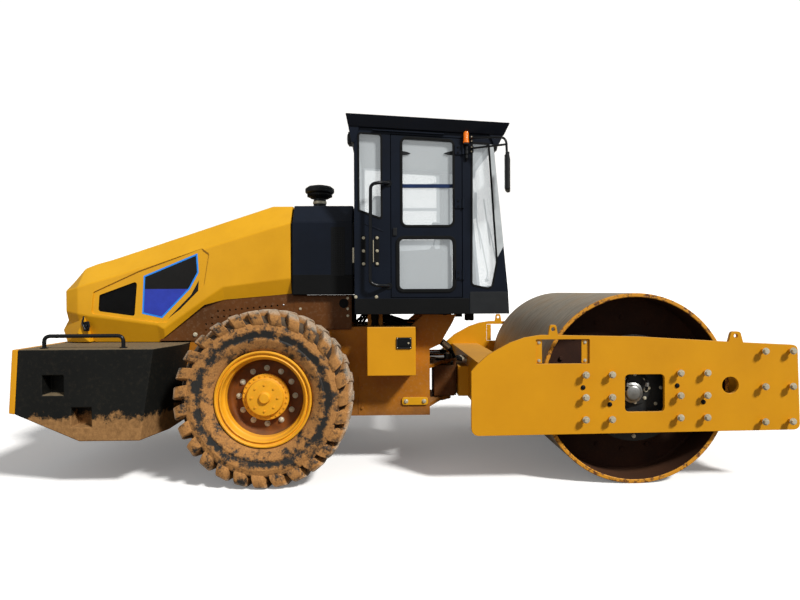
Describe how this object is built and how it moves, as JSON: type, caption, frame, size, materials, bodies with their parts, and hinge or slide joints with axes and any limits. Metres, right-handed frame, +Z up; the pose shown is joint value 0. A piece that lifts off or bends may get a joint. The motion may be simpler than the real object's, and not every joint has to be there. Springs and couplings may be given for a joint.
{
  "type": "single-drum road roller",
  "caption": "Soil compactor with a wide smooth steel drum in a bolted side-plate frame, an articulated hitch, a closed cab, a sloping engine hood and two lugged rear tyres.",
  "frame": {"origin": "on the ground under the middle of the machine", "axes": "+X forward towards the drum, +Y to the machine's left, +Z up"},
  "size_m": [6.2084, 2.424, 3.026],
  "materials": {
    "yellow_paint": "gloss construction-yellow enamel, dusty in the recesses",
    "dark_paint": "satin blue-black enamel",
    "black_paint": "matt black enamel over a rough casting",
    "mesh_black": "black coated wire mesh",
    "rolled_steel": "bare steel, rolled dull by gravel",
    "engine_block": "plain block",
    "chrome_rod": "polished chrome",
    "tyre_rubber": "muddy rubber",
    "cab_glass": "lightly tinted safety glass",
    "seat_fabric": "black woven seat cover",
    "cab_plastic": "grained dark grey moulding"
  },
  "bodies": {
    "rear_frame": {"rear_frame": "yellow_paint", "rear_plate": "yellow_paint", "rear_axle": "yellow_paint", "engine_skirt_left": "yellow_paint", "engine_skirt_right": "yellow_paint", "battery_box": "yellow_paint", "hydraulic_tank": "yellow_paint", "engine_block": "engine_block", "counterweight": "black_paint", "mirror_left": "black_paint", "mirror_right": "black_paint", "engine_cover": "dark_paint", "air_intake": "dark_paint", "cab_frame": "dark_paint", "cab_roof": "dark_paint", "rear_side_glass_left": "cab_glass", "rear_side_glass_right": "cab_glass", "front_side_glass_left": "cab_glass", "front_side_glass_right": "cab_glass", "windscreen": "cab_glass", "rear_window": "cab_glass", "seat_base": "cab_plastic", "console": "cab_plastic", "steering_column": "cab_plastic", "seat_cushion": "seat_fabric", "seat_backrest": "seat_fabric"},
    "wheel_left": {"rim_left": "yellow_paint", "tyre_left": "tyre_rubber"},
    "wheel_right": {"rim_right": "yellow_paint", "tyre_right": "tyre_rubber"},
    "hood": {"hood": "yellow_paint", "rear_grille": "mesh_black"},
    "door_left": {"door_left": "dark_paint", "door_glass_left": "cab_glass"},
    "door_right": {"door_right": "dark_paint", "door_glass_right": "cab_glass"},
    "hitch": {"hitch": "yellow_paint"},
    "front_frame": {"rear_crossbeam": "yellow_paint", "front_crossbeam": "yellow_paint", "side_plate_left": "yellow_paint", "side_plate_right": "yellow_paint", "drum_support_left": "black_paint", "drum_support_right": "black_paint", "scraper_rear": "black_paint", "scraper_front": "black_paint"},
    "drum": {"drum": "rolled_steel"},
    "steering_cylinder_left": {"steering_cylinder_left": "dark_paint"},
    "steering_cylinder_right": {"steering_cylinder_right": "dark_paint"},
    "steering_rod_left": {"steering_rod_left": "chrome_rod"},
    "steering_rod_right": {"steering_rod_right": "chrome_rod"}
  },
  "joints": [
    {"name": "steer", "type": "hinge", "parent": "rear_frame", "child": "hitch", "pos_m": [0.356, 0, 0.71], "axis": [0, 0, 1], "range_deg": [-33, 33]},
    {"name": "oscillate", "type": "hinge", "parent": "hitch", "child": "front_frame", "pos_m": [0.356, 0, 0.71], "axis": [1, 0, 0], "range_deg": [-10, 10]},
    {"name": "drum_roll", "type": "hinge", "parent": "front_frame", "child": "drum", "pos_m": [1.816, 0, 0.765], "axis": [0, 1, 0], "continuous": true},
    {"name": "wheel_roll_left", "type": "hinge", "parent": "rear_frame", "child": "wheel_left", "pos_m": [-1.154, 0.87, 0.705], "axis": [0, 1, 0], "continuous": true},
    {"name": "wheel_roll_right", "type": "hinge", "parent": "rear_frame", "child": "wheel_right", "pos_m": [-1.154, -0.87, 0.705], "axis": [0, 1, 0], "continuous": true},
    {"name": "hood_lift", "type": "hinge", "parent": "rear_frame", "child": "hood", "pos_m": [-1.0013, 0, 2.306], "axis": [0, 1, 0], "range_deg": [0, 50]},
    {"name": "door_swing_left", "type": "hinge", "parent": "rear_frame", "child": "door_left", "pos_m": [0.474, 0.7713, 1.5], "axis": [0, 0, -1], "range_deg": [0, 90]},
    {"name": "door_swing_right", "type": "hinge", "parent": "rear_frame", "child": "door_right", "pos_m": [0.474, -0.7713, 1.5], "axis": [0, 0, 1], "range_deg": [0, 90]},
    {"name": "cylinder_swing_left", "type": "hinge", "parent": "rear_frame", "child": "steering_cylinder_left", "pos_m": [-0.204, 0.17, 0.945], "axis": [0, 0, 1], "range_deg": [-5, 5]},
    {"name": "rod_slide_left", "type": "slide", "parent": "steering_cylinder_left", "child": "steering_rod_left", "axis": [0.9983, 0.0582, 0], "range_m": [-0.118, 0.118]},
    {"name": "cylinder_swing_right", "type": "hinge", "parent": "rear_frame", "child": "steering_cylinder_right", "pos_m": [-0.204, -0.17, 0.945], "axis": [0, 0, 1], "range_deg": [-5, 5]},
    {"name": "rod_slide_right", "type": "slide", "parent": "steering_cylinder_right", "child": "steering_rod_right", "axis": [0.9983, -0.0582, 0], "range_m": [-0.118, 0.118]}
  ],
  "couplings": [
    {"joint": "cylinder_swing_left", "follows": "steer", "ratio": 0.067},
    {"joint": "rod_slide_left", "follows": "steer", "m_per_rad": -0.1936},
    {"joint": "cylinder_swing_right", "follows": "steer", "ratio": 0.067},
    {"joint": "rod_slide_right", "follows": "steer", "m_per_rad": 0.1936}
  ]
}
